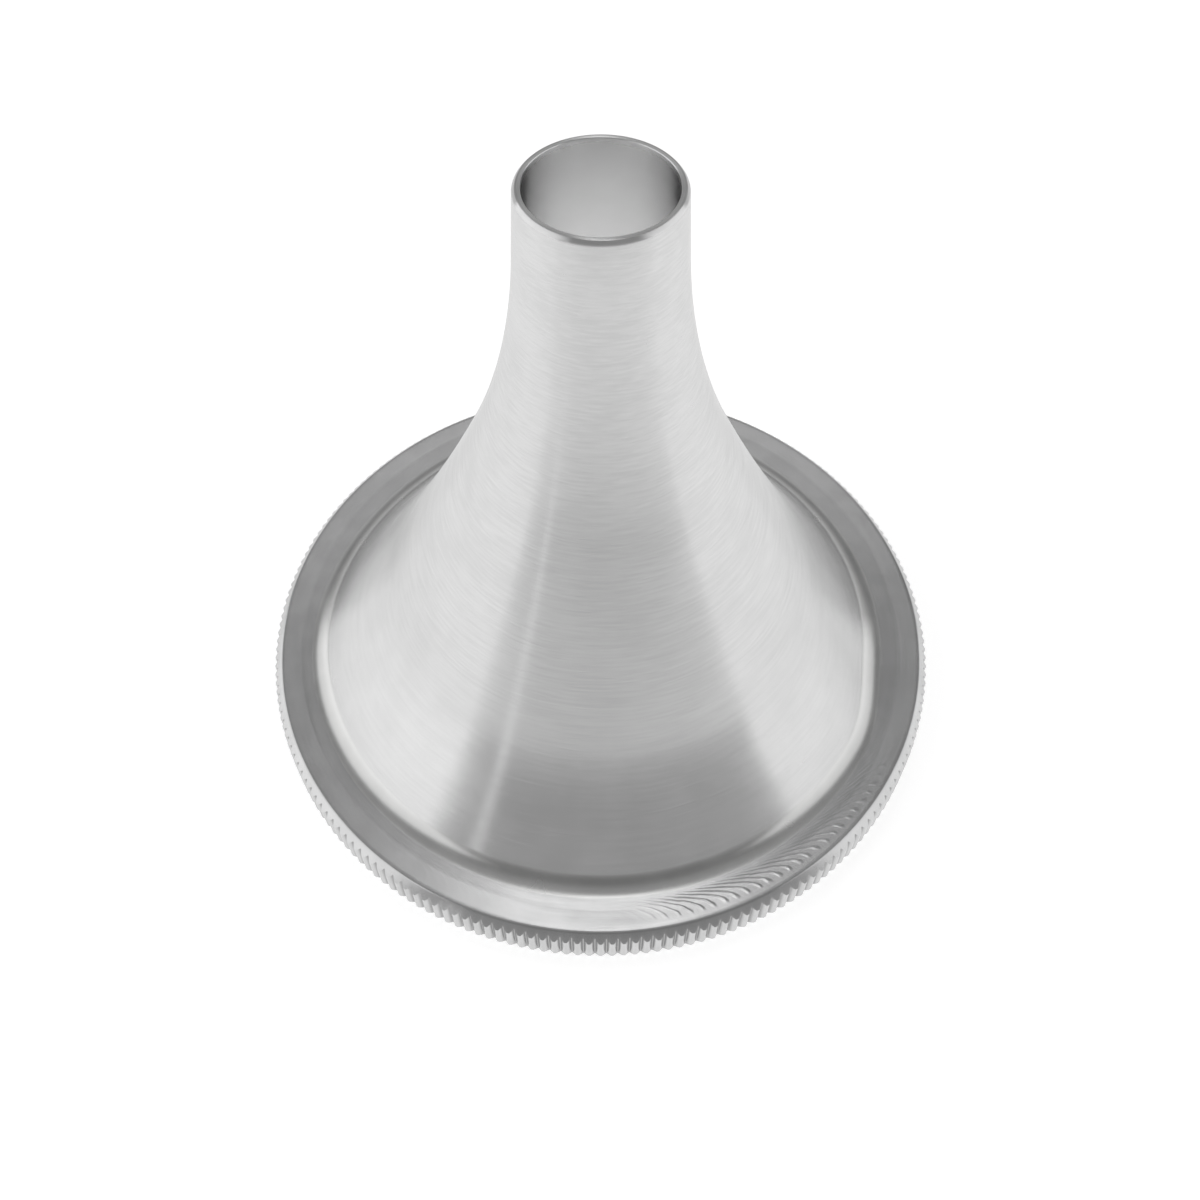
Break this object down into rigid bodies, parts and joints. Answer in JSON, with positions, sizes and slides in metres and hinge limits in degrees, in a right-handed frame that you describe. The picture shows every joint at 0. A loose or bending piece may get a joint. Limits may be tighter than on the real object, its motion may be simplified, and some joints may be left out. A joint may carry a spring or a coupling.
{
  "type": "ear speculum",
  "caption": "Conical metal ear speculum: a trumpet-shaped funnel, open at both ends, soldered into a turned ring with a straight-knurled edge.",
  "frame": {"origin": "centre of the ring's underside, on the axis, where the speculum stands on its wide mouth", "axes": "+Z along the axis towards the narrow tip; X and Y lie in the ring's underside, and the shape is the same all round"},
  "size_m": [0.0324, 0.0324, 0.028],
  "materials": {
    "satin_sheet_steel": "satin, brushed round the axis",
    "turned_steel": "fine turned, with cutter marks",
    "polished_solder": "rubbed smooth"
  },
  "bodies": {
    "root": {"funnel": "satin_sheet_steel", "milled_rim": "turned_steel", "solder_fillet": "polished_solder"}
  },
  "joints": []
}
